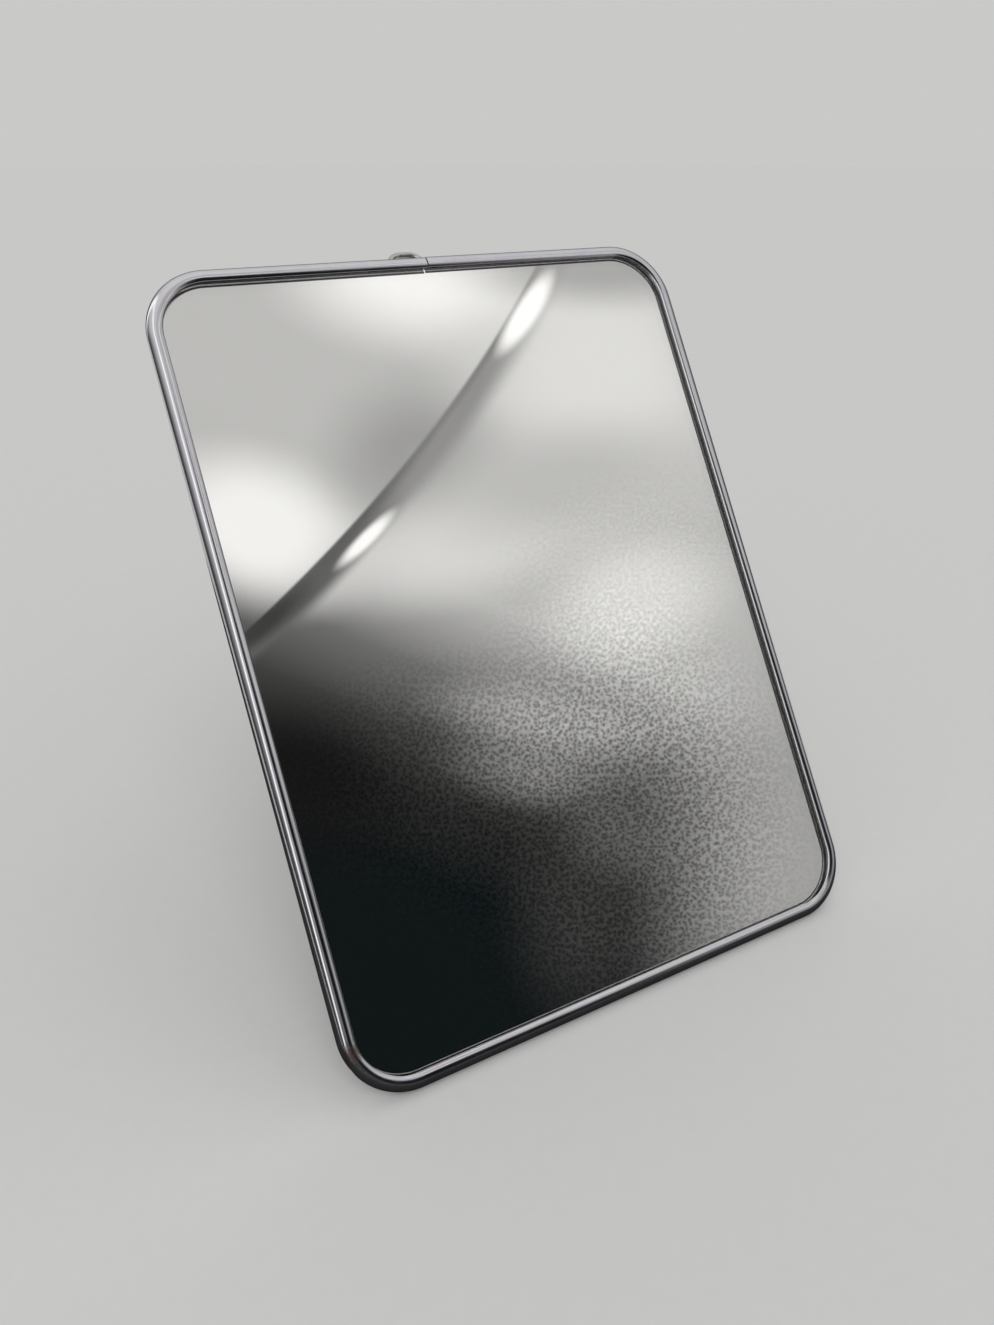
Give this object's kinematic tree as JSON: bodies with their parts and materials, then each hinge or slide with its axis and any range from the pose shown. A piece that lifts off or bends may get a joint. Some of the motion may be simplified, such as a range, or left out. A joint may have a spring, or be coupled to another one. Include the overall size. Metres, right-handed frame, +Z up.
{
  "type": "barber mirror",
  "caption": "Leaning table mirror: rectangular mirror glass in a round plated metal bead, with a fold-out wire stand and a folding hanging loop on the back board.",
  "frame": {"origin": "on the surface that the mirror stands on, under the middle of the whole object's box", "axes": "+Z up, +X to the right of someone who looks into the mirror, the glass faces -Y and leans back, and the stand opens to +Y"},
  "size_m": [0.186, 0.162, 0.2041],
  "materials": {
    "plated_bead": "polished nickel plate, lightly worn",
    "joiner_steel": "bare mild steel",
    "clear_glass": "polished flat glass with ground edges",
    "silver": "wet-silvered coat",
    "lacquer": "red-brown backing lacquer, matt",
    "grey_card": "plain grey packing card",
    "fibre_board": "pressed fibreboard with a leather grain, dark brown",
    "plate_steel": "nickel-plated sheet steel, dull",
    "rivet_brass": "brass, dulled",
    "wire_steel": "nickel-plated drawn steel wire"
  },
  "bodies": {
    "panel": {"rim": "plated_bead", "rim_joiner": "joiner_steel", "mirror_glass": "clear_glass", "silver_coat": "silver", "backing_lacquer": "lacquer", "packing_card": "grey_card", "back_board": "fibre_board", "hinge_plate": "plate_steel", "hinge_rivets": "rivet_brass", "hanger_strap": "plate_steel", "hanger_rivet": "rivet_brass"},
    "stand": {"stand_wire": "wire_steel"},
    "hanger": {"hanger_loop": "wire_steel"}
  },
  "joints": [
    {"name": "stand_hinge", "type": "hinge", "parent": "panel", "child": "stand", "pos_m": [0, 0.01712, 0.13176], "axis": [1, 0, 0], "range_deg": [-60, 0]},
    {"name": "hanger_hinge", "type": "hinge", "parent": "panel", "child": "hanger", "pos_m": [0, 0.05417, 0.18881], "axis": [1, 0, 0], "range_deg": [-159, 20]}
  ]
}
